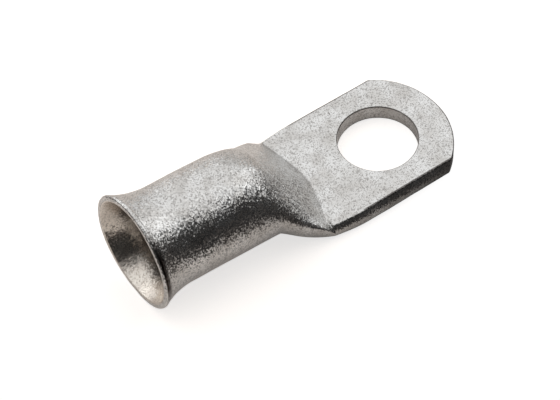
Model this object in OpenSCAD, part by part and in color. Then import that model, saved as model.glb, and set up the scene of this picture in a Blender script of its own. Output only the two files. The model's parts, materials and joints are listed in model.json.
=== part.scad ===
// Tinned copper cable lug. One length of copper tube: its mouth is belled out to lead
// the cable's strands in, and its other end is pressed flat into a palm that is pierced
// for a stud. Millimetres. The origin is the centre of the stud hole on the palm's
// underside; +X runs out along the palm, the barrel lies along -X, and +Z points up.

/* [Tube] */
// Outside diameter of the tube, which is the barrel's
tube_od = 12.8; // [10:0.1:16]
// Thickness of the tube's wall
wall = 1.15; // [0.7:0.05:1.8]
// From the stud hole's centre back to the mouth, along the underside
mouth_reach = 37; // [33:0.5:60]
// Lean of the barrel from the palm, mouth upwards, in degrees
barrel_lean = 3.7; // [0:0.1:8]

/* [Bell mouth] */
// How far the lip stands out from the barrel, all round
bell_rise = 1.43; // [0.8:0.01:2.5]
// Radius of the bell's outer curve, along the tube
bell_r = 10.2; // [5:0.1:20]
// Thickness of the wall at the lip, thinned by the flaring
lip_wall = 0.95; // [0.7:0.05:1.4]
// Rounding of the lip's two corners
lip_r = 0.25; // [0.1:0.01:0.3]

/* [Palm] */
// Width of the palm
palm_w = 18.3; // [17:0.1:20]
// From the stud hole's centre out to the palm's tip
tip_reach = 9.6; // [8:0.1:16]
// Radius of the arc that the tip is sheared to
tip_r = 10.4; // [10.1:0.1:20]
// How far the rounded sides stand out from the palm's flat faces
side_bulge = 0.65; // [0.4:0.05:1]
// Rounding of the sheared edges, at the tip and round the hole
edge_r = 0.2; // [0.05:0.05:0.3]

/* [Stud hole] */
// Diameter of the stud hole
stud_hole_d = 10.5; // [5:0.1:13]

/* [Slope] */
// From the stud hole's centre back to the foot of the slope, on the centre line
foot_reach = 10.9; // [10:0.1:14]
// Radius of the foot line's nose in plan: the middle of the slope reaches furthest out
foot_nose_r = 9; // [2:0.5:20]
// Angle at which the foot line falls back on either side of its nose, in degrees
foot_flank = 17; // [5:1:25]
// Steepness of the slope on the centre line, in degrees
slope_angle = 47.5; // [35:0.5:60]
// Radius of the crown where the barrel turns down into the slope
shoulder_r = 7.5; // [2:0.5:12]
// Radius of the inner corner where the slope meets the palm
root_r = 0.45; // [0.2:0.05:1.5]
// How far behind the foot of the slope the sides begin to spread
spread_lead = 6.8; // [5:0.1:12]
// Length over which the sides spread from the barrel's width to the palm's
spread_len = 9.7; // [6:0.1:12]

/* [Hidden] */
$fn = 96;

ring_points = 48;   // corners of one ring of the pressed stretch, a multiple of 4
shoulder_steps = 8; // rings along the shoulder, the straight slope, the root arc and the
slope_steps = 10;   // stretch of palm beyond it
root_steps = 4;
spread_steps = 5;
flat_pace = 4;      // how much wider the corners of a ring are spaced on its flats
width_ease = 1.6;   // how early in the spread the width is reached,
sink_ease = 1.3;    // and the waist has sunk and the underside turned flat
lap = 0.5;          // length that the pressed stretch runs into the barrel and the palm,
seat = 0.02;        // and how far inside their skin it lies there
cut = 1;            // how far a cutter runs past the metal

tube_r = tube_od/2;
bore_r = tube_r - wall;
palm_t = 2*wall;    // the palm is both walls pressed together
hole_r = stud_hole_d/2;

// The crown's line: shoulder arc, straight slope, root arc, foot
drop = tube_od - palm_t;
shoulder_dx = shoulder_r*sin(slope_angle);
shoulder_dz = shoulder_r*(1 - cos(slope_angle));
root_dx = root_r*sin(slope_angle);
root_dz = root_r*(1 - cos(slope_angle));
slope_dx = (drop - shoulder_dz - root_dz)/tan(slope_angle);
foot_x = -foot_reach;
shoulder_x = foot_x - root_dx - slope_dx - shoulder_dx;
spread_x = foot_x - spread_lead;

// How far the foot line has fallen back at y from the centre line: a hyperbola, round at
// its nose and straight on its flanks. A ring turns from flat to bowed, or back, over a
// little more than that: the barrel is plain up to press_x, and the palm from palm_x on.
flank = tan(foot_flank);
nose_depth = foot_nose_r*flank*flank;
function sag(y) = sqrt(nose_depth*nose_depth + pow(y*flank, 2)) - nose_depth;
press_turn = 1.3*sag(tube_r);
palm_turn = 1.3*sag(palm_w/2);
press_x = min(shoulder_x, spread_x) - press_turn;
palm_x = max(foot_x + palm_turn, spread_x + spread_len);

// The barrel, from its mouth to the line where it bends, and to where it is pressed
bend_len = mouth_reach + spread_x;
plain_len = mouth_reach + press_x;

// The bell's outer and inner curves both end where the plain tube begins
bell_len = sqrt(bell_r*bell_r - pow(bell_r - bell_rise, 2));
flare_rise = bell_rise + wall - lip_wall;
flare_r = (bell_len*bell_len + flare_rise*flare_rise)/(2*flare_rise);
lip_out = tube_r + bell_rise;
lip_in = lip_out - lip_wall;

// Stations along the crown's line: [x, height, steepness]
function on_shoulder(a) =
    [shoulder_x + shoulder_r*sin(a), tube_od - shoulder_r*(1 - cos(a)), a];
function on_slope(f) =
    [shoulder_x + shoulder_dx + f*slope_dx,
     tube_od - shoulder_dz - f*slope_dx*tan(slope_angle), slope_angle];
function on_root(a) = [foot_x - root_r*sin(a), palm_t + root_r*(1 - cos(a)), a];
function on_palm(f) = [foot_x + f*(palm_x - foot_x), palm_t, 0];

slope_stations = concat(
    [for (i = [0:shoulder_steps - 1]) on_shoulder(slope_angle*i/shoulder_steps)],
    [for (i = [0:slope_steps]) on_slope(i/slope_steps)],
    [for (i = [1:root_steps - 1]) on_root(slope_angle*(1 - i/root_steps))]);
outer_stations = concat(
    [[press_x - lap, tube_od, 0], [press_x, tube_od, 0]],
    slope_stations,
    [for (i = [0:spread_steps]) on_palm(i/spread_steps)],
    [[palm_x + lap, palm_t, 0]]);
// The pressed walls close the cavity at the foot
inner_stations = concat([[press_x - lap, tube_od, 0], [press_x, tube_od, 0]], slope_stations);

// How far the sides have spread at x, from 0 to 1: fast at first, then easing off
function spread(x, power) =
    1 - pow(1 - min(max((x - spread_x)/spread_len, 0), 1), power);
function half_width(x) = tube_r + (palm_w/2 - tube_r)*spread(x, width_ease);
// Height of the widest point, which sinks from the barrel's middle to the palm's
function waist(x) = tube_r + (palm_t/2 - tube_r)*spread(x, sink_ease);
// How much of the half width is round: below, and above where the crown's line is z high.
// All of it is on the tube, and on the palm only the bulge of its sides. Between them the
// slope is domed, since its rounding narrows no faster than its height.
function low_round(x) = tube_r + (side_bulge - tube_r)*spread(x, sink_ease);
function high_round(x, z) =
    side_bulge + (half_width(x) - side_bulge)*min((z - palm_t)/drop, 1);

// A ring leans with the barrel and stands upright on the palm, and it is bowed in plan
function lean(x) = barrel_lean*(1 - spread(x, 1));
function bow(x, y) =
    sag(y)*max(min((x - press_x)/press_turn, (palm_x - x)/palm_turn, 1), 0);
function placed(x, p) =
    let (along = min(x - spread_x, 0) - bow(x, p[0]), a = lean(x))
    [max(x, spread_x) + along*cos(a) + p[1]*sin(a), p[0], p[1]*cos(a) - along*sin(a)];

// A quarter of a section, h high and w wide, f from 0 at the side to 1 at the middle:
// r of its width is round, and the rest is flat
function quarter(f, w, r, h) =
    let (arc = PI/4*(r + h), run = f*(arc + (w - r)/flat_pace))
    run < arc
        ? let (a = 90*run/arc) [w - r + r*cos(a), h*sin(a)]
        : [w - r - (run - arc)*flat_pace, h];
// A whole section of half width w between bottom and top, widest at height mid. High and
// low are the shares of w that are round above and below it.
function section(w, high, low, bottom, mid, top) =
    [for (i = [0:ring_points - 1])
        let (turn = 4*i/ring_points, q = floor(turn), f = turn - q, up = q < 2,
             p = quarter(q%2 == 0 ? f : 1 - f, w, w*(up ? high : low),
                         up ? top - mid : mid - bottom))
        [(q == 0 || q == 3 ? 1 : -1)*p[0], mid + (up ? 1 : -1)*p[1]]];

// The ring of station s, or with inside = wall the cavity's. A station lies on the outer
// crown's line, and the cavity's crown runs one wall inside, square to it.
function inset(x) = x <= press_x || x >= palm_x ? seat : 0;
function ring(s, inside) =
    let (x = s[0] - inside*sin(s[2]), top = s[1] - inside*cos(s[2]),
         e = inset(s[0]), w = half_width(x),
         mid = min(waist(x), inside > 0 ? (top + inside)/2 : top - palm_t/2))
    [for (p = section(w - inside - e, high_round(x, s[1])/w, low_round(x)/w,
                      inside + e, mid, top - e))
        placed(x, p)];

// A closed skin over a list of rings
module skin(rings) {
    n = ring_points;
    last = len(rings) - 1;
    polyhedron(
        points = [for (ring = rings) each ring],
        faces = concat(
            [[for (i = [0:n - 1]) i], [for (i = [n - 1:-1:0]) last*n + i]],
            [for (k = [0:last - 1]) for (i = [0:n - 1]) let (j = (i + 1)%n)
                each [[k*n + i, (k + 1)*n + i, k*n + j],
                      [k*n + j, (k + 1)*n + i, (k + 1)*n + j]]]));
}

// What rounding takes off a corner of the lip, where its face meets an arc of radius r
// round [x, bell_len]. Side is 1 for the outer corner at lip_out, -1 for the inner one.
module lip_waste(x, r, lip, side) {
    c = [x - sqrt(pow(r + side*lip_r, 2) - pow(bell_len - lip_r, 2)), lip_r];
    touch = c + side*lip_r*([x, bell_len] - c)/(r + side*lip_r);
    difference() {
        polygon([c, [c[0], -cut], [lip + side*cut, -cut], [lip + side*cut, touch[1]],
                 touch]);
        translate(c) circle(lip_r);
    }
}

// Half sections of the barrel and of its bore: x is the radius, the mouth is at y = 0
module barrel_section() {
    difference() {
        union() {
            square([tube_r, plain_len]);
            difference() {
                square([lip_out, bell_len]);
                translate([tube_r + bell_r, bell_len]) circle(bell_r);
            }
        }
        lip_waste(tube_r + bell_r, bell_r, lip_out, 1);
    }
}
module bore_section() {
    translate([0, -cut]) square([bore_r, plain_len + cut]);
    difference() {
        translate([0, -cut]) square([lip_in, bell_len + cut]);
        translate([bore_r + flare_r, bell_len]) circle(flare_r);
    }
    lip_waste(bore_r + flare_r, flare_r, lip_in, -1);
}
// Turns a half section about the barrel's leaning axis
module about_barrel_axis() {
    translate([spread_x, 0, 0]) rotate([0, barrel_lean, 0])
        translate([-bend_len, 0, tube_r]) rotate([0, 90, 0]) rotate_extrude() children();
}

// A corner at [x, y] rounded off by r, as the waste on its +x side: up is 1 for a top
// corner, -1 for a bottom one
module edge_waste(x, y, r, up) {
    difference() {
        translate([x - r, y - (up > 0 ? r : cut)]) square([r + cut, r + cut]);
        translate([x - r, y - up*r]) circle(r);
    }
}

// The palm: round sides from the tube's folds, and a tip sheared to an arc
module palm() {
    tip_x = tip_reach - tip_r;
    flat_w = palm_w - 2*side_bulge;
    intersection() {
        translate([palm_x, 0, 0]) rotate([90, 0, 90]) linear_extrude(tip_reach - palm_x) {
            translate([-flat_w/2, 0]) square([flat_w, palm_t]);
            for (s = [-1, 1]) translate([s*flat_w/2, palm_t/2])
                scale([2*side_bulge/palm_t, 1]) circle(palm_t/2);
        }
        union() {
            translate([palm_x - cut, -palm_w, -cut])
                cube([tip_x - palm_x + cut, 2*palm_w, palm_t + 2*cut]);
            translate([tip_x, 0, 0]) rotate_extrude() difference() {
                square([tip_r, palm_t]);
                edge_waste(tip_r, palm_t, edge_r, 1);
                edge_waste(tip_r, 0, edge_r, -1);
            }
        }
    }
}

// The hole for the stud, with both rims eased
module stud_hole() {
    rotate_extrude() {
        translate([0, -cut]) square([hole_r, palm_t + 2*cut]);
        difference() {
            translate([0, -cut]) square([hole_r + edge_r, palm_t + 2*cut]);
            translate([hole_r, edge_r]) square([edge_r + cut, palm_t - 2*edge_r]);
            for (z = [edge_r, palm_t - edge_r]) translate([hole_r + edge_r, z]) circle(edge_r);
        }
    }
}

module cable_lug() {
    color("silver") difference() {
        union() {
            about_barrel_axis() barrel_section();
            skin([for (s = outer_stations) ring(s, 0)]);
            palm();
        }
        about_barrel_axis() bore_section();
        skin([for (s = inner_stations) ring(s, wall)]);
        stud_hole();
    }
}

cable_lug();
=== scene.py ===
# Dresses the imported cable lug: one length of copper tube, tin plated, with a belled mouth
# and an end that is pressed flat and pierced. The CAD node gives way to a finer skin of
# the same form, worked out below from the same sizes. Shapes are worked in millimetres
# and made in metres.
import json
import math

import bmesh
import bpy
import numpy as np
from mathutils import Matrix, Vector, noise


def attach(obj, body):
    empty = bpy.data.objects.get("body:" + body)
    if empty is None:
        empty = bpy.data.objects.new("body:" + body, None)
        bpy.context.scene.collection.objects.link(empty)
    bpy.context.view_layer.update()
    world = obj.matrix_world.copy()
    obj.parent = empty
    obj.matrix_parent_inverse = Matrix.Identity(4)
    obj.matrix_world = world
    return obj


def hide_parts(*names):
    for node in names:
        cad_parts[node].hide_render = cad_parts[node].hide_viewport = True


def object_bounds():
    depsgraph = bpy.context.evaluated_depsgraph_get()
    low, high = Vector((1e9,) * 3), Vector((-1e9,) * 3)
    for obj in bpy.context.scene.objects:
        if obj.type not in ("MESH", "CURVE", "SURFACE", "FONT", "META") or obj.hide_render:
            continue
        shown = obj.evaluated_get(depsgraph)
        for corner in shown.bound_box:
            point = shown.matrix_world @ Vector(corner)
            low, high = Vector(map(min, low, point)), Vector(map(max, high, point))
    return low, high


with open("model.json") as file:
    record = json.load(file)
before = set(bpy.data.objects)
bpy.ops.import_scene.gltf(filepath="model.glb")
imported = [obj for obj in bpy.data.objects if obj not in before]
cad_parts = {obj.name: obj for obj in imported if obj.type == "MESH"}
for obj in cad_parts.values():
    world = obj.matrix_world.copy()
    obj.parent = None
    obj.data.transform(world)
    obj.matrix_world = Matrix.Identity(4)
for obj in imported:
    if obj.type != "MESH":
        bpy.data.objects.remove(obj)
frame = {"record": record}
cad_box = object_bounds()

MM = 0.001

# ---------------------------------------------------------------- sizes, in millimetres
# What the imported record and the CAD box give.
mounts = {m["name"]: m for m in frame["record"]["mounts"]}
HOLE_R = mounts["stud_hole"]["dims"]["r_mm"]
PALM_T = mounts["stud_hole"]["dims"]["length_mm"]
WALL = PALM_T / 2
BORE_R = mounts["cable_bore"]["dims"]["r_mm"]
TUBE_R = BORE_R + WALL
LEAN = math.asin(mounts["cable_bore"]["axis"][2])
TIP_REACH = cad_box[1].x / MM

# What the maker's drawing adds, as the CAD source has it.
MOUTH_REACH = 37.0    # stud hole's centre back to the mouth, along the underside
BELL_RISE = 1.43      # how far the lip stands out from the barrel
BELL_CURVE = 10.2     # radius of the bell's outer curve
LIP_WALL = 0.95       # wall left at the lip by the flaring
LIP_ROUND = 0.25      # rounding of the lip's inner corner
MOUTH_SKEW = 0.26     # how much longer the mouth was cut on its far side, one radius over,
SKEW_MOST = 1.2       # and how many times that at the most, further out
LIP_BEAD = 0.3        # radius of the small bead that the flaring rolled along its outer one
TIP_CURVE = 10.4      # radius of the arc the tip is sheared to
FOOT_REACH = 10.9     # stud hole's centre back to the foot of the slope
FOOT_NOSE = 9.0       # radius of the foot line's nose in plan
FOOT_FLANK = math.tan(math.radians(17))  # how steeply it falls back beside its nose
FOOT_SKEW = 0.06      # how far the press left that line out of square
FOOT_FLARE = 0.08     # and how sharply it turns forward again on the near side,
FLARE_FROM = 5.6      # from this far off the middle
BOW_FADE = 1.3        # how many times its own depth the bow of that line takes to fade out
SLOPE = math.radians(47.5)
SHOULDER_R = 7.5      # radius of the crown above the slope
ROOT_R = 0.45         # radius of the inner corner at the slope's foot
SPREAD_LEAD = 6.8     # foot of the slope back to where the sides begin to spread
SPREAD_LEN = 9.7      # length over which they spread
TIP_EDGE = 0.2        # rounding of the sheared edges at the tip
HOLE_EDGE = 0.1       # and at the stud hole
SEAM_ROWS = (0.14, 0.07, 0.03)  # a sheared wall's rows of points nearest its middle

# The press left the two sides a little unlike, so these are for the far side (+Y) and the
# near one. The first four are the palm's own: its halves in width, how round its sides are
# and where they are widest. Then come how early in the spread the full width is reached, the
# waist has sunk and the underside has turned flat, and how late on its way down the dome
# narrows.
PALM_HALF = (cad_box[1].y / MM, 8.82)
HIGH_BULGE = (0.65, 0.80)     # how far the palm's rounded sides stand out from its top flat
LOW_BULGE = (0.65, 0.4)       # and from its underside
PALM_MID = (PALM_T / 2, 0.9)  # height of the palm's widest points
WIDTH_EASE = (1.9, 1.45)
WAIST_EASE = (1.2, 1.5)
BELLY_EASE = (1.3, 2.4)
DOME_EASE = (1.0, 0.25)
ROUND_EASE = (0.25, 2)        # how soon the tube's round turns to the palm's, above and below

# How finely the skin is made.
QUARTER = 48          # points on a quarter of every ring
ROUND_SIDE = 12       # of those, how many lie on the palm's round side
PRESS_ROWS = 6        # rows of points before the shoulder,
CROWN_ROWS = 24       # over its crown,
SLOPE_ROWS = 31       # down the slope,
ROOT_ROWS = 9         # round the corner at its foot
FOOT_ROWS = 16        # and on to the palm
BARREL_ROWS = (22, 18)          # along the plain barrel, outside and inside,
BELL_ROWS = 26        # along the bell,
BEAD_ROWS = 12        # over its bead,
LIP_ROWS = 5          # down the lip's face
CORNER_ROWS = 9       # and round its inner corner
SIDE_STEPS = 30       # along the palm's sides,
TIP_STEPS = 72        # along its tip,
HOLE_STEPS = 16       # from its outline in to the hole,
EDGE_ROWS = 6         # round a sheared edge
WALL_ROWS = 7         # and down the wall beside it
ROUNDING = 1e-12      # what a sum may be out by
AROUND = 4 * QUARTER
TURN = np.arange(AROUND) / QUARTER
UPPER = TURN < 2                    # the first half of a ring runs over the top,
NEAR = (TURN >= 1) & (TURN < 3)     # and its middle half lies on the near side


def by_side(pair):
    """The far and near value of a pair, for every point of a ring."""
    return np.where(NEAR, pair[1], pair[0])


SIDE_BULGE = np.where(UPPER, by_side(HIGH_BULGE), by_side(LOW_BULGE))
HIGH_FLAT = (PALM_HALF[0] - HIGH_BULGE[0], PALM_HALF[1] - HIGH_BULGE[1])
LOW_FLAT = (PALM_HALF[0] - LOW_BULGE[0], PALM_HALF[1] - LOW_BULGE[1])

# ---------------------------------------------------------------- the pressing's profile
DROP = 2 * TUBE_R - PALM_T
SHOULDER_RUN = SHOULDER_R * math.sin(SLOPE)
SHOULDER_FALL = SHOULDER_R * (1 - math.cos(SLOPE))
ROOT_RUN = ROOT_R * math.sin(SLOPE)
ROOT_FALL = ROOT_R * (1 - math.cos(SLOPE))
SLOPE_RUN = (DROP - SHOULDER_FALL - ROOT_FALL) / math.tan(SLOPE)
FOOT_X = -FOOT_REACH
SHOULDER_X = FOOT_X - ROOT_RUN - SLOPE_RUN - SHOULDER_RUN
SPREAD_X = FOOT_X - SPREAD_LEAD


def sag(y):
    """How far a point of the foot line, y off the middle, lies behind the middle."""
    depth = FOOT_NOSE * FOOT_FLANK**2
    return np.sqrt(depth**2 + np.square(y * FOOT_FLANK)) - depth


PRESS_TURN = BOW_FADE * sag(TUBE_R)
PALM_TURN = BOW_FADE * sag(max(PALM_HALF))
PRESS_X = min(SHOULDER_X, SPREAD_X) - PRESS_TURN
PALM_X = max(FOOT_X + PALM_TURN, SPREAD_X + SPREAD_LEN)


def spread(x, power):
    """0 where the tube is still round, 1 where it has its full palm width."""
    share = min(max((x - SPREAD_X) / SPREAD_LEN, 0), 1)
    return 1 - (1 - share) ** power


def eased(x, powers):
    """The spread at x for every point of a ring, by the power of its own side."""
    return np.where(NEAR, spread(x, powers[1]), spread(x, powers[0]))


def half_width(x):
    return TUBE_R + (by_side(PALM_HALF) - TUBE_R) * eased(x, WIDTH_EASE)


def waist(x):
    """Height of the widest point above the underside."""
    return TUBE_R + (by_side(PALM_MID) - TUBE_R) * eased(x, WAIST_EASE)


def rounded(x, height):
    """How much of the half width is round, all of it on the tube and the bulge on the palm,
    and how far that round has turned from the tube's into the palm's."""
    dome = min((height - PALM_T) / DROP, 1) ** by_side(DOME_EASE)
    high = SIDE_BULGE + (half_width(x) - SIDE_BULGE) * dome
    low = TUBE_R + (SIDE_BULGE - TUBE_R) * eased(x, BELLY_EASE)
    palmed = np.where(UPPER, 1 - dome ** ROUND_EASE[0], spread(x, ROUND_EASE[1]))
    return np.where(UPPER, high, low), palmed


def leaned(x, y, z, bow=0.0):
    """Points at station x, laid back by bow and turned with the leaning barrel."""
    turn = LEAN * (1 - spread(x, 1))
    along = min(x - SPREAD_X, 0) - bow
    return np.stack(
        [
            max(x, SPREAD_X) + along * np.cos(turn) + z * np.sin(turn),
            y,
            z * np.cos(turn) - along * np.sin(turn),
        ],
        axis=1,
    )


def bowed(x, y):
    """The bow of the foot line, fading out towards the plain barrel and the palm."""
    fade = min((x - PRESS_X) / PRESS_TURN, (PALM_X - x) / PALM_TURN, 1)
    flare = FOOT_FLARE * np.maximum(-y - FLARE_FROM, 0) ** 2
    return (sag(y) - FOOT_SKEW * y - flare) * max(fade, 0)


# The palm's side is three arcs: a tight one at the flat's edge, one that is all but straight,
# and a round one to the widest point. Their radii, and the tilt in degrees where each ends.
# The curve is summed up from them a degree at a time.
SIDE_ARCS = ((0.35, 52), (4.0, 60), (1.6, 90))
SIDE_TILTS = np.arange(90) + 0.5
SIDE_RADII = np.select([SIDE_TILTS < tilt for _, tilt in SIDE_ARCS],
                       [radius for radius, _ in SIDE_ARCS])
SIDE_OUT = np.append(0, np.cumsum(SIDE_RADII * np.cos(np.radians(SIDE_TILTS))))
SIDE_DOWN = np.append(0, np.cumsum(SIDE_RADII * np.sin(np.radians(SIDE_TILTS))))


def round_curve(share, palmed):
    """A quarter of a ring over a square of 1, from its widest point up: how far out and how
    high. It goes from the tube's even round, at 0, to the palm's, at 1."""
    angle = share * math.pi / 2
    tilt = 90 * (1 - share)
    out = np.interp(tilt, np.arange(91), SIDE_OUT / SIDE_OUT[-1])
    up = np.interp(tilt, np.arange(91), 1 - SIDE_DOWN / SIDE_DOWN[-1])
    return (np.cos(angle) + (out - np.cos(angle)) * palmed,
            np.sin(angle) + (up - np.sin(angle)) * palmed)


# On the palm the round side takes ROUND_SIDE of a quarter's points and the flat the rest.
SIDE_RISE = np.where(UPPER, PALM_T - by_side(PALM_MID), by_side(PALM_MID))
SIDE_ARC = math.pi / 4 * (SIDE_BULGE + SIDE_RISE)
FLAT_PACE = SIDE_ARC * (QUARTER / ROUND_SIDE - 1) / (by_side(PALM_HALF) - SIDE_BULGE)


def section(width, corner, palmed, bottom, mid, top):
    """One closed ring: flats above and below, joined at each side by two quarter rounds."""
    quarter = np.floor(TURN).astype(int)
    share = np.where(quarter % 2 == 0, TURN - quarter, quarter + 1 - TURN)
    rise = np.where(UPPER, top - mid, mid - bottom)
    arc = math.pi / 4 * (corner + rise)
    run = share * (arc + (width - corner) * FLAT_PACE)
    on_arc = run < arc - ROUNDING
    out, up = round_curve(np.where(on_arc, run / arc, 1), palmed)
    flat = width - corner - (run - arc) / FLAT_PACE
    y = np.where(on_arc, width - corner + corner * out, flat)
    z = rise * np.where(on_arc, up, 1)
    return np.where(NEAR, -y, y), mid + np.where(UPPER, z, -z)


def crown_line():
    """Stations down the middle of the top: x, height, and how steep it is there."""
    level = np.linspace(PRESS_X, SHOULDER_X, PRESS_ROWS, endpoint=False)
    stations = [(x, 2 * TUBE_R, 0) for x in level]
    for turn in np.linspace(0, SLOPE, CROWN_ROWS, endpoint=False):
        stations.append((SHOULDER_X + SHOULDER_R * math.sin(turn),
                         2 * TUBE_R - SHOULDER_R * (1 - math.cos(turn)), turn))
    for share in np.linspace(0, 1, SLOPE_ROWS):
        run = share * SLOPE_RUN
        stations.append((SHOULDER_X + SHOULDER_RUN + run,
                         2 * TUBE_R - SHOULDER_FALL - run * math.tan(SLOPE), SLOPE))
    for turn in np.linspace(SLOPE, 0, ROOT_ROWS)[1:-1]:
        stations.append((FOOT_X - ROOT_R * math.sin(turn),
                         PALM_T + ROOT_R * (1 - math.cos(turn)), turn))
    return stations


def outer_rings():
    """The pressed stretch from the plain barrel to the palm."""
    stations = [(x, top) for x, top, _ in crown_line()]
    stations += [(x, PALM_T) for x in np.linspace(FOOT_X, PALM_X, FOOT_ROWS)]
    rings = []
    for x, top in stations:
        mid = np.minimum(waist(x), top - PALM_T / 2)
        corner, palmed = rounded(x, top)
        y, z = section(half_width(x), corner, palmed, 0, mid, top)
        rings.append(leaned(x, y, z, bowed(x, y)))
    return rings


def inner_rings():
    """The same stretch inside, one wall in from the outer skin."""
    rings = []
    for outer_x, height, turn in crown_line():
        x = outer_x - WALL * math.sin(turn)
        top = height - WALL * math.cos(turn)
        share = 1 - WALL / half_width(x)
        mid = np.minimum(waist(x), (top + WALL) / 2)
        corner, palmed = rounded(x, height)
        y, z = section(half_width(x) * share, corner * share, palmed, WALL, mid, top)
        rings.append(leaned(x, y, z, bowed(x, y)))
    return rings


# ---------------------------------------------------------------- the barrel and its bell
BARREL_LEN = MOUTH_REACH + SPREAD_X
PLAIN_END = MOUTH_REACH + PRESS_X
BELL_LEN = math.sqrt(BELL_CURVE**2 - (BELL_CURVE - BELL_RISE) ** 2)
FLARE_RISE = BELL_RISE + WALL - LIP_WALL
FLARE_CURVE = (BELL_LEN**2 + FLARE_RISE**2) / (2 * FLARE_RISE)
BEAD_GAP = math.radians(6)  # left between the bell's last point and the bead's first


def barrel_ring(from_mouth, radius):
    """A ring round the barrel's own axis."""
    angle = np.arange(AROUND) / AROUND * 2 * math.pi
    return leaned(SPREAD_X + from_mouth - BARREL_LEN, radius * np.cos(angle),
                  TUBE_R + radius * np.sin(angle))


def mouth_ring(from_mouth, radius):
    """The same on the bell, whose far side was cut a little longer."""
    ring = barrel_ring(from_mouth, radius)
    share = np.interp(from_mouth, (0, BELL_LEN), (1, 0))
    ring[:, 0] -= MOUTH_SKEW * share * np.clip(ring[:, 1] / TUBE_R, 0, SKEW_MOST)
    return ring


def flare(from_mouth, radius, curve):
    """The bell's radius there, on the face that leaves a plain tube of that radius."""
    return radius + curve - np.sqrt(curve**2 - np.square(BELL_LEN - from_mouth))


def lip_outside():
    """Distance from the mouth and radius, from the plain barrel out along the bell, over the
    bead and down the lip's face."""
    places = BELL_LEN - (BELL_LEN - 2 * LIP_BEAD) * np.linspace(0, 1, BELL_ROWS)
    bell = [(s, flare(s, TUBE_R, BELL_CURVE)) for s in places]
    middle = flare(LIP_BEAD, TUBE_R, BELL_CURVE) - LIP_BEAD
    start = math.asin((bell[-1][1] - middle) / LIP_BEAD) + BEAD_GAP
    bead = [(LIP_BEAD * (1 + math.cos(t)), middle + LIP_BEAD * math.sin(t))
            for t in np.linspace(start, math.pi, BEAD_ROWS)]
    inner = lip_inside()[0][1]
    face = [(0.0, r) for r in np.linspace(middle, inner, LIP_ROWS)[1:-1]]
    return bell + bead + face


def lip_inside():
    """The same from the lip's face round its inner corner and in to the plain bore."""
    reach = FLARE_CURVE - LIP_ROUND
    centre = BORE_R + FLARE_CURVE - math.sqrt(reach**2 - (BELL_LEN - LIP_ROUND) ** 2)
    last = math.asin((BELL_LEN - LIP_ROUND) / reach)
    rounding = [(LIP_ROUND - LIP_ROUND * math.cos(t), centre - LIP_ROUND * math.sin(t))
                for t in np.linspace(0, math.pi / 2 - last, CORNER_ROWS)[:-1]]
    bell = [(BELL_LEN - FLARE_CURVE * math.sin(t), BORE_R + FLARE_CURVE * (1 - math.cos(t)))
            for t in np.linspace(last, 0, BELL_ROWS)]
    return rounding + bell


def tube_rings():
    """Every ring from the palm back along the outside, round the lip and in to the slit, and
    how many of them are outside."""
    outside = outer_rings()[::-1]
    plain = np.linspace(PLAIN_END, BELL_LEN, BARREL_ROWS[0])[1:-1]
    outside += [barrel_ring(s, TUBE_R) for s in plain]
    outside += [mouth_ring(s, r) for s, r in lip_outside()]
    inside = [mouth_ring(s, r) for s, r in lip_inside()]
    plain = np.linspace(BELL_LEN, PLAIN_END, BARREL_ROWS[1])[1:-1]
    inside += [barrel_ring(s, BORE_R) for s in plain]
    inside += inner_rings()
    return np.array(outside + inside), len(outside)


# ---------------------------------------------------------------- the palm
TIP_CENTRE = TIP_REACH - TIP_CURVE


def tip_x(y):
    return TIP_CENTRE + np.sqrt(TIP_CURVE**2 - np.square(y))


def tip_places(flat):
    """Places across the tip between the palm's two round sides, even along its arc."""
    ends = [math.asin(v / TIP_CURVE) for v in (-flat[1], flat[0])]
    return TIP_CURVE * np.sin(np.linspace(*ends, TIP_STEPS + 1))[1:-1]


def palm_outline(flat, upper):
    """One flat face of the palm in plan, from the slope's end round by the near side, the tip
    and the far side."""
    y, _ = section(by_side(PALM_HALF), SIDE_BULGE, 1, 0, by_side(PALM_MID), PALM_T)
    half = y[: 2 * QUARTER + 1] if upper else np.append(y[2 * QUARTER:], y[0])[::-1]
    root = [(PALM_X, v) for v in half[ROUND_SIDE: 2 * QUARTER - ROUND_SIDE + 1]]
    far, near = (
        [(PALM_X + (tip_x(v) - TIP_EDGE - PALM_X) * s, v)
         for s in np.linspace(0, 1, SIDE_STEPS + 1)]
        for v in (flat[0], -flat[1])
    )
    tip = [(tip_x(v) - TIP_EDGE, v) for v in tip_places(flat)]
    return np.array(root + near[1:] + tip + far[::-1][:-1])


def sheared_wall(edge):
    """A sheared wall from top to bottom, with rounded edges: how far back its points lie and
    their heights. They are closer together about the seam at its middle."""
    turns = np.linspace(0, math.pi / 2, EDGE_ROWS)
    seam = [PALM_T / 2 + rise for rise in SEAM_ROWS]
    plain = np.append(np.linspace(PALM_T - edge, seam[0], WALL_ROWS)[1:], seam[1:])
    upper = np.concatenate([PALM_T - edge * (1 - np.cos(turns)), plain])
    back = np.append(edge * (1 - np.sin(turns)), np.zeros(len(plain)))
    return (np.concatenate([back, [0], back[::-1]]),
            np.concatenate([upper, [PALM_T / 2], PALM_T - upper[::-1]]))


def hole_ring(outline, radius):
    """Points round the stud hole, each at the bearing of its point on the palm's outline."""
    bearing = np.arctan2(outline[:, 1], outline[:, 0])
    return radius * np.stack([np.cos(bearing), np.sin(bearing)], axis=1)


def palm_faces(top, under):
    """The palm's two flats, each from its outline in to the stud hole's edge."""
    shares = np.linspace(0, 1, HOLE_STEPS + 1)[:, None, None]
    patches = []
    for outline, height in ((top, PALM_T), (under, 0)):
        plan = outline * (1 - shares) + hole_ring(outline, HOLE_R + HOLE_EDGE) * shares
        level = np.full(plan.shape[:2], height)
        patches.append((np.dstack([plan, level]), True, height == 0))
    return patches


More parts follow.
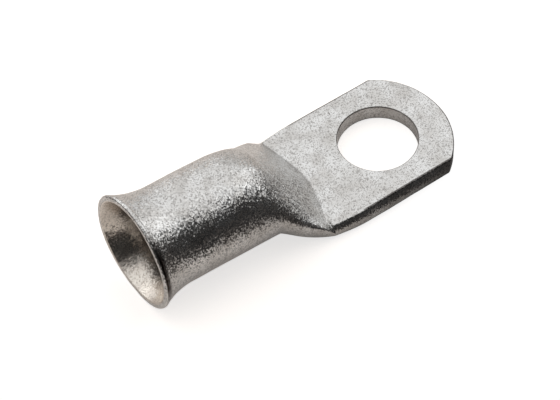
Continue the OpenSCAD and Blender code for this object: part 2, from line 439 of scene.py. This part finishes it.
def hole_wall(top, under):
    """The stud hole's wall, its points at the bearings of those on the palm's outline."""
    rows = []
    for back, z in zip(*sheared_wall(HOLE_EDGE)):
        ring = hole_ring(under + (top - under) * z / PALM_T, HOLE_R + back)
        rows.append(np.column_stack([ring, np.full(len(ring), z)]))
    return np.stack(rows), True, False


def side_halves(out, up):
    """The section of each round side, the far one first: y and z from the flat above down
    to the widest point, and from the flat below up to it."""
    halves = []
    for i, hand in enumerate((1, -1)):
        mid = PALM_MID[i]
        high = [hand * (HIGH_FLAT[i] + HIGH_BULGE[i] * out), mid + (PALM_T - mid) * up]
        low = [hand * (LOW_FLAT[i] + LOW_BULGE[i] * out), mid - mid * up]
        halves.append((np.stack(high), np.stack(low)))
    return halves


def round_side(high, low, up, flip):
    """One round side, from the slope's end along to the sheared tip's edge."""
    y, z = np.concatenate([high, low[:, -2::-1]], axis=1)
    end = tip_x(y) - TIP_EDGE * np.append(up, up[-2::-1])
    side = [np.stack([PALM_X + (end - PALM_X) * s, y, z], axis=1)
            for s in np.linspace(0, 1, SIDE_STEPS + 1)]
    return np.stack(side), False, flip


def sheared_tip(far, near, up):
    """The tip, from the near side's widest point across to the far side's."""
    edges = []
    for half, flat, height in ((0, HIGH_FLAT, PALM_T), (1, LOW_FLAT, 0)):
        places = tip_places(flat)
        middle = [places, np.full(len(places), height)]
        edges.append(np.concatenate([near[half][:, ::-1], middle, far[half]], axis=1))
    above, below = edges
    whole = np.concatenate([up[::-1], np.ones(TIP_STEPS - 1), up])
    rows = []
    for back, height in zip(*sheared_wall(TIP_EDGE)):
        y, z = below + (above - below) * height / PALM_T
        rows.append(np.stack([tip_x(y) - back * whole, y, z], axis=1))
    return np.stack(rows), False, True


def palm_patches():
    """Grids of points for the palm's two faces, hole wall, round sides and sheared tip, each
    with whether its rows close and whether its faces turn over."""
    top = palm_outline(HIGH_FLAT, True)
    under = palm_outline(LOW_FLAT, False)
    out, up = round_curve(np.linspace(1, 0, ROUND_SIDE + 1), 1)
    far, near = side_halves(out, up)
    patches = palm_faces(top, under)
    patches.append(hole_wall(top, under))
    patches.append(round_side(*far, up, True))
    patches.append(round_side(*near, up, False))
    patches.append(sheared_tip(far, near, up))
    return patches


# ---------------------------------------------------------------- painted dark reflections
# A dark reflection is painted behind the lip, as a crescent on the near side. It lies
# between these distances from the mouth, and these degrees round from the far side
# over the top.
LIP_REFLECTION_ALONG = (0.12, 0.18, 0.7, 0.95)
LIP_REFLECTION_ROUND = (110, 142, 174, 202)
THERE = (0, 1, 1, 0)  # how dark it is at each of those four places
PAINTED_EDGE_DARK = 0.8       # how much dark reflection is painted on the sheared edges of the palm and of its hole,
EDGE_START = 0.0005   # from this far off either flat
EDGE_BAND = 0.16      # to this far off it,
EDGE_FROM = FOOT_X + 1.5        # and from here along to the tip


def painted_lip_reflection(place):
    """How much dark reflection is painted there: a crescent behind the lip, on the near side.
    """
    x = place.x - SPREAD_X
    from_mouth = BARREL_LEN + x * math.cos(LEAN) - place.z * math.sin(LEAN)
    below = TUBE_R - x * math.sin(LEAN) - place.z * math.cos(LEAN)
    angle = 180 + math.degrees(math.atan2(below, -place.y))
    return np.interp(from_mouth, LIP_REFLECTION_ALONG, THERE) * np.interp(angle, LIP_REFLECTION_ROUND, THERE)


def painted_edge_reflection(place):
    """The same on the palm: painted dark reflection along its sheared edges, near both flats.
    """
    depth = min(PALM_T - place.z, place.z)
    on_edge = place.x > EDGE_FROM and EDGE_START < depth < EDGE_BAND
    return PAINTED_EDGE_DARK if on_edge else 0.0


# ---------------------------------------------------------------- the skin
def grid_faces(rows, columns, first, closed, flip):
    """The faces of a grid whose points are numbered from first, row by row."""
    faces = []
    for row in range(rows - 1):
        for column in range(columns if closed else columns - 1):
            beside = (column + 1) % columns
            a = first + row * columns
            face = (a + column, a + column + columns, a + beside + columns, a + beside)
            faces.append(face[::-1] if flip else face)
    return faces


def slit_faces(first):
    """Closes the flattened end of the cavity."""
    faces = []
    half = AROUND // 2
    for i in range(half):
        across = (AROUND - i - 1) % AROUND, (AROUND - i) % AROUND
        ring = [first + k for k in (i, i + 1) + across]
        faces.append(tuple(dict.fromkeys(ring)))
    return faces


def build_lug():
    """The whole skin, with the bore's finish inside and a note of where dark reflection is
    painted on.
    """
    tube, outside = tube_rings()
    patches = [(tube, True, False)] + palm_patches()
    points = []
    faces = []
    for patch, closed, flip in patches:
        faces += grid_faces(patch.shape[0], patch.shape[1], sum(map(len, points)), closed, flip)
        points.append(patch.reshape(-1, 3))
    faces += slit_faces(len(points[0]) - AROUND)
    mesh = bpy.data.meshes.new("tinned_lug")
    mesh.from_pydata([tuple(p * MM) for p in np.concatenate(points)], [], faces)
    mesh.materials.append(tinned_copper("electroplated_tin_on_copper", OUTSIDE))
    mesh.materials.append(tinned_copper("thin_tin_inside_the_bore", INSIDE))
    # Where dark reflection is painted on: behind the lip, and along the palm's sheared edges.
    painted_dark = mesh.attributes.new("painted_dark_reflection", "FLOAT", "POINT").data
    for vertex in mesh.vertices[:outside * AROUND]:
        painted_dark[vertex.index].value = painted_lip_reflection(vertex.co / MM)
    for vertex in mesh.vertices[len(points[0]):]:
        painted_dark[vertex.index].value = painted_edge_reflection(vertex.co / MM)
    slit = len(faces) - AROUND // 2
    for face in mesh.polygons:
        in_bore = outside * AROUND <= face.index < (len(tube) - 1) * AROUND
        face.material_index = int(in_bore or face.index >= slit)
    lug = bpy.data.objects.new("tinned_lug", mesh)
    bpy.context.scene.collection.objects.link(lug)
    return lug


# The press and handling left waves in the surface: their width, their height, and a place of
# their own in the noise that draws them.
DENTS = ((4.5, 0.05, (3.1, 0.4, 7.7)), (1.3, 0.014, (9.2, 5.6, 1.8)))
WELD = 1e-4           # points this close are one
SHARP = math.radians(25)        # edges that turn more than this stay sharp


def dent(point):
    """How far the surface stands off its true form there."""
    return sum(height * noise.noise(point / width + Vector(own))
               for width, height, own in DENTS)


def join_and_dent(lug):
    """Welds the patches along their shared edges, dents the skin and smooths all but its
    sharp edges."""
    work = bmesh.new()
    work.from_mesh(lug.data)
    bmesh.ops.remove_doubles(work, verts=work.verts, dist=WELD * MM)
    bmesh.ops.recalc_face_normals(work, faces=work.faces)
    work.normal_update()
    for vertex in work.verts:
        vertex.co += vertex.normal * dent(vertex.co / MM) * MM
    for face in work.faces:
        face.smooth = True
    for edge in work.edges:
        edge.smooth = not edge.is_manifold or edge.calc_face_angle() < SHARP
    work.to_mesh(lug.data)
    work.free()


# ---------------------------------------------------------------- camera
def aim_camera():
    """Looks down on the lug from the near side, somewhat round towards the mouth, and is
    tipped a little to one side. Angles are in degrees."""
    azimuth = math.radians(-31.74)
    elevation = math.radians(52.93)
    roll = math.radians(-3.93)
    distance = 238.7 * MM
    target = Vector((-15.98, -1.09, 3.0)) * MM
    back = Vector((math.sin(azimuth) * math.cos(elevation),
                   -math.cos(azimuth) * math.cos(elevation), math.sin(elevation)))
    camera = bpy.data.objects.new("camera", bpy.data.cameras.new("camera"))
    bpy.context.scene.collection.objects.link(camera)
    camera.location = target + back * distance
    turn = back.to_track_quat("Z", "Y").to_matrix().to_4x4() @ Matrix.Rotation(roll, 4, "Z")
    camera.matrix_world = Matrix.Translation(camera.location) @ turn
    camera.data.sensor_width = 36
    camera.data.lens = 122.9
    camera.data.clip_start = 0.01
    camera.data.clip_end = 10
    bpy.context.scene.camera = camera


# ---------------------------------------------------------------- light and stage
# The floor is a pale card on a dark bench. The card lies askew, so that less of it shows
# before the palm. Its places are in mm from the stud hole.
CARD = "#E9DFD7"
BENCH = "#403B38"
BENCH_HALF = 3.0      # metres
CARD_SKEW = 0.7       # how far askew the card's near edge runs: this far across for 1 along
CARD_START = -6.0     # towards the near side the card is whole up to here,
CARD_END = 16.0       # and past here there is only the bench
CARD_LEFT = -45.0     # beyond the mouth it is whole up to here,
CARD_LEFT_END = -58.0           # and past here there is only the bench
CARD_LIFT = 0.67      # what the eye is given on the card, over its own light, to see white
FLOOR_SHARE = 0.19    # the share of that lift that the metal mirrors,
BENCH_SHARE = 0.02    # and of the bench's
TENT_MIDDLE = (85, 40)          # where the middle of the tent's cloth is, as for toward()
TENT_EDGE = 0.1       # where the cloth ends, as a cosine off its middle,
TENT_SOFT = 0.10      # and how softly
TENT_WALL = 0.57      # its glow near the floor,
TENT_ROOF = 0.93      # and overhead,
TENT_RISE = (0.1, 0.5)          # and the heights between which it brightens, the top being 1
# Two soft lamps shine on the cloth, and beyond the mouth it hangs open on the dark room: the
# middle of each, how far it reaches in degrees, and what it adds.
LIGHTS = (((-9, 21), 38, 0.45), ((106, 2), 48, 0.6), ((-124, 40), 46, -1.0))
ROOM = 0.015          # the dark room's own glow, and what the metal mirrors of the backdrop


# ---------------------------------------------------------------- nodes and colours
def linear(hex_colour):
    """An sRGB hex colour as the linear colour that a shader wants."""
    parts = [int(hex_colour[i: i + 2], 16) / 255 for i in (1, 3, 5)]
    return [c / 12.92 if c <= 0.04045 else ((c + 0.055) / 1.055) ** 2.4 for c in parts] + [1.0]


def put(tree, kind, settings=None, **links):
    """Adds a node. settings are its properties. links are its inputs, by name or as i and a
    number, and give each a value or another node's socket."""
    node = tree.nodes.new(kind)
    for name, value in (settings or {}).items():
        setattr(node, name, value)
    for name, value in links.items():
        key = int(name[1:]) if name[1:].isdigit() else name.replace("_", " ")
        if isinstance(value, bpy.types.NodeSocket):
            tree.links.new(value, node.inputs[key])
        else:
            node.inputs[key].default_value = value
    return node


# Settings that several nodes share.
COLOURS = {"data_type": "RGBA"}
SMOOTH = {"interpolation_type": "SMOOTHSTEP"}
DOT = {"operation": "DOT_PRODUCT"}
MULTIPLY = {"operation": "MULTIPLY"}
MULTIPLY_ADD = {"operation": "MULTIPLY_ADD"}
MAXIMUM = {"operation": "MAXIMUM"}
MINIMUM = {"operation": "MINIMUM"}
WHITE = [1, 1, 1, 1]

# The two finishes: the plating's colour where it is thick, where it is thin and where a
# crystal is dull, how far the crystals tilt, how rough they are, how far the skin's
# unevenness is drawn out along the tube (1 is not at all), and how much painted shade
# darkens the tone deep in the bore. Inside there is less tin, so more of the copper's warmth,
# and the drawn tube's own lines.
OUTSIDE = ("#E8E8E7", "#D2D0CD", "#94918E", 0.36, 0.25, 1.0, 0.0)
INSIDE = ("#E9E3DA", "#D3CAC1", "#B4ABA2", 0.13, 0.26, 0.15, 0.85)
PAINTED_DARK_REFLECTION = "#3A322E"     # colour of the painted dark reflections
PAINTED_BORE_SHADE = "#57504C"      # painted shade deep in the bore, where no light comes back out,
BORE_SHADE_START = -36.0    # setting in here, in mm along X,
BORE_SHADE_END = -31.0      # and full from here on
CRYSTAL = 0.15        # width of a crystal, in mm
DULL_FROM = 0.5       # crystals past this share of them are dull,
DULL_MOST = 0.9       # and the last of them this much
SKIN_WIDTH = 0.7      # the skin's unevenness, in mm: how wide,
SKIN_DEPTH = 0.06     # and how deep
CLOUD_WIDTH = 2.6     # how wide the plating's thick and thin places are, in mm,
CLOUD = (0.36, 0.62)  # and the noise's values that are the thinnest and the thickest


def tinned_copper(name, finish):
    """Copper tube, electroplated with tin: a pale satin metal, grainy where the tin has grown
    in crystals, which breaks the edges of what it mirrors into bright and dark specks."""
    thick, thin, dull, tilt, rough, drawn, bore_shade = finish
    material = bpy.data.materials.new(name)
    material.use_nodes = True
    tree = material.node_tree
    tree.nodes.clear()
    place = put(tree, "ShaderNodeTexCoord").outputs["Object"]
    # Tin crystals are some 0.02 mm across. They are drawn CRYSTAL wide, so that they show.
    # Each has a tilt and a tone of its own.
    crystal = put(tree, "ShaderNodeTexVoronoi", Vector=place,
                  Scale=1 / (CRYSTAL * MM)).outputs["Color"]
    lean = put(tree, "ShaderNodeVectorMath", {"operation": "SUBTRACT"}, i0=crystal,
               i1=(0.5, 0.5, 0.5)).outputs[0]
    along = put(tree, "ShaderNodeVectorMath", MULTIPLY, i0=place, i1=(drawn, 1, 1)).outputs[0]
    skin = put(tree, "ShaderNodeTexNoise", Vector=along, Scale=1 / (SKIN_WIDTH * MM),
               Detail=3.0).outputs["Fac"]
    skin = put(tree, "ShaderNodeBump", Strength=1.0, Distance=SKIN_DEPTH * MM,
               Height=skin).outputs["Normal"]
    facet = put(tree, "ShaderNodeVectorMath", MULTIPLY_ADD, i0=lean, i1=(tilt, tilt, tilt),
                i2=skin).outputs[0]
    facet = put(tree, "ShaderNodeVectorMath", {"operation": "NORMALIZE"}, i0=facet).outputs[0]
    # The plating is thicker here and thinner there, which clouds its colour a little.
    cloud = put(tree, "ShaderNodeTexNoise", Vector=along, Scale=1 / (CLOUD_WIDTH * MM),
                Detail=3.0).outputs["Fac"]
    cloud = put(tree, "ShaderNodeMapRange", Value=cloud, From_Min=CLOUD[0],
                From_Max=CLOUD[1]).outputs["Result"]
    tone = put(tree, "ShaderNodeMix", COLOURS, i0=cloud, i6=linear(thin),
               i7=linear(thick)).outputs[2]
    grey = put(tree, "ShaderNodeSeparateColor", Color=crystal).outputs["Blue"]
    grey = put(tree, "ShaderNodeMapRange", Value=grey, From_Min=DULL_FROM,
               To_Max=DULL_MOST).outputs["Result"]
    tone = put(tree, "ShaderNodeMix", COLOURS, i0=grey, i6=tone, i7=linear(dull)).outputs[2]
    # Painted shade: the tone darkens towards the far end of the bore.
    bore_shade_share = put(tree, "ShaderNodeSeparateXYZ", Vector=place).outputs["X"]
    bore_shade_share = put(tree, "ShaderNodeMapRange", SMOOTH, Value=bore_shade_share, From_Min=BORE_SHADE_START * MM,
                 From_Max=BORE_SHADE_END * MM, To_Max=bore_shade).outputs["Result"]
    tone = put(tree, "ShaderNodeMix", COLOURS, i0=bore_shade_share, i6=tone, i7=linear(PAINTED_BORE_SHADE)).outputs[2]
    # Painted dark reflection, behind the lip and along the palm's sheared edges.
    painted_dark = put(tree, "ShaderNodeAttribute", {"attribute_name": "painted_dark_reflection"}).outputs["Fac"]
    tone = put(tree, "ShaderNodeMix", COLOURS, i0=painted_dark, i6=tone, i7=linear(PAINTED_DARK_REFLECTION)).outputs[2]
    tin = put(tree, "ShaderNodeBsdfPrincipled", Base_Color=tone, Metallic=1.0,
              Roughness=rough, Normal=facet)
    put(tree, "ShaderNodeOutputMaterial", Surface=tin.outputs["BSDF"])
    return material


def seen_white(tree, amount, share):
    """amount for what the eye sees, and a share of it for what metal and glass mirror."""
    path = put(tree, "ShaderNodeLightPath")
    mirrored = put(tree, "ShaderNodeMath", MAXIMUM, i0=path.outputs["Is Glossy Ray"],
                   i1=path.outputs["Is Transmission Ray"]).outputs[0]
    seen = put(tree, "ShaderNodeMath", MULTIPLY_ADD, i0=mirrored, i1=share,
               i2=path.outputs["Is Camera Ray"]).outputs[0]
    return put(tree, "ShaderNodeMath", MULTIPLY, i0=seen, i1=amount).outputs[0]


def studio_floor(height):
    """A matt white card under the lug on a dark bench, whose near part the metal mirrors.
    The eye sees both as white, and the card keeps the lug's shadow."""
    corners = [(x * BENCH_HALF, y * BENCH_HALF, 0)
               for x, y in ((-1, -1), (1, -1), (1, 1), (-1, 1))]
    mesh = bpy.data.meshes.new("floor")
    mesh.from_pydata(corners, [], [(0, 1, 2, 3)])
    floor = bpy.data.objects.new("floor", mesh)
    bpy.context.scene.collection.objects.link(floor)
    floor.location.z = height
    material = bpy.data.materials.new("matt_white_card_on_a_dark_bench")
    material.use_nodes = True
    tree = material.node_tree
    tree.nodes.clear()
    place = put(tree, "ShaderNodeTexCoord").outputs["Object"]
    nearer = put(tree, "ShaderNodeVectorMath", DOT, i0=place,
                 i1=(CARD_SKEW, -1, 0)).outputs["Value"]
    card = put(tree, "ShaderNodeMapRange", SMOOTH, Value=nearer, From_Min=CARD_START * MM,
               From_Max=CARD_END * MM, To_Min=1.0, To_Max=0.0).outputs["Result"]
    along = put(tree, "ShaderNodeSeparateXYZ", Vector=place).outputs["X"]
    left = put(tree, "ShaderNodeMapRange", SMOOTH, Value=along, From_Min=CARD_LEFT_END * MM,
               From_Max=CARD_LEFT * MM).outputs["Result"]
    card = put(tree, "ShaderNodeMath", MINIMUM, i0=card, i1=left).outputs[0]
    colour = put(tree, "ShaderNodeMix", COLOURS, i0=card, i6=linear(BENCH), i7=linear(CARD))
    matt = put(tree, "ShaderNodeBsdfDiffuse", Color=colour.outputs[2])
    lift = put(tree, "ShaderNodeMapRange", Value=card, To_Min=1.0,
               To_Max=CARD_LIFT).outputs["Result"]
    share = put(tree, "ShaderNodeMapRange", Value=card, To_Min=BENCH_SHARE,
                To_Max=FLOOR_SHARE).outputs["Result"]
    white = put(tree, "ShaderNodeEmission", Strength=seen_white(tree, lift, share))
    both = put(tree, "ShaderNodeAddShader", i0=matt.outputs["BSDF"],
               i1=white.outputs["Emission"])
    put(tree, "ShaderNodeOutputMaterial", Surface=both.outputs["Shader"])
    mesh.materials.append(material)


def toward(azimuth, elevation):
    """A unit direction: azimuth from +X towards +Y, elevation above the floor, in degrees."""
    a = math.radians(azimuth)
    e = math.radians(elevation)
    return (math.cos(a) * math.cos(e), math.sin(a) * math.cos(e), math.sin(e))


def light_tent():
    """A white tent behind and over the lug, with two soft lamps on its cloth. It is open to
    a dark room on the near side and beyond the mouth, and the eye sees only plain white."""
    world = bpy.data.worlds.new("light_tent")
    bpy.context.scene.world = world
    world.use_nodes = True
    tree = world.node_tree
    tree.nodes.clear()
    look = put(tree, "ShaderNodeTexCoord").outputs["Generated"]
    behind = put(tree, "ShaderNodeVectorMath", DOT, i0=look,
                 i1=toward(*TENT_MIDDLE)).outputs["Value"]
    cover = put(tree, "ShaderNodeMapRange", SMOOTH, Value=behind,
                From_Min=TENT_EDGE - TENT_SOFT,
                From_Max=TENT_EDGE + TENT_SOFT).outputs["Result"]
    height = put(tree, "ShaderNodeSeparateXYZ", Vector=look).outputs["Z"]
    glow = put(tree, "ShaderNodeMapRange", SMOOTH, Value=height, From_Min=TENT_RISE[0],
               From_Max=TENT_RISE[1], To_Min=TENT_WALL, To_Max=TENT_ROOF).outputs["Result"]
    for middle, reach, strength in LIGHTS:
        ahead = put(tree, "ShaderNodeVectorMath", DOT, i0=look,
                    i1=toward(*middle)).outputs["Value"]
        lamp = put(tree, "ShaderNodeMapRange", SMOOTH, Value=ahead,
                   From_Min=math.cos(math.radians(reach)), From_Max=1.0,
                   To_Max=strength).outputs["Result"]
        glow = put(tree, "ShaderNodeMath", {"operation": "ADD"}, i0=glow, i1=lamp).outputs[0]
    glow = put(tree, "ShaderNodeMath", MAXIMUM, i0=glow, i1=0.0).outputs[0]
    tent = put(tree, "ShaderNodeMath", MULTIPLY_ADD, i0=glow, i1=cover, i2=ROOM).outputs[0]
    lit = put(tree, "ShaderNodeBackground", Color=WHITE, Strength=tent)
    white = put(tree, "ShaderNodeBackground", Color=WHITE, Strength=1.0)
    mixed = put(tree, "ShaderNodeMixShader", Fac=seen_white(tree, 1.0, ROOM),
                i1=lit.outputs[0], i2=white.outputs[0])
    put(tree, "ShaderNodeOutputWorld", Surface=mixed.outputs[0])


lug = build_lug()
join_and_dent(lug)
studio_floor(min(vertex.co.z for vertex in lug.data.vertices))
light_tent()
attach(lug, "root")
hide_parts("cable_lug")
aim_camera()

bpy.context.scene.view_settings.view_transform = "Standard"
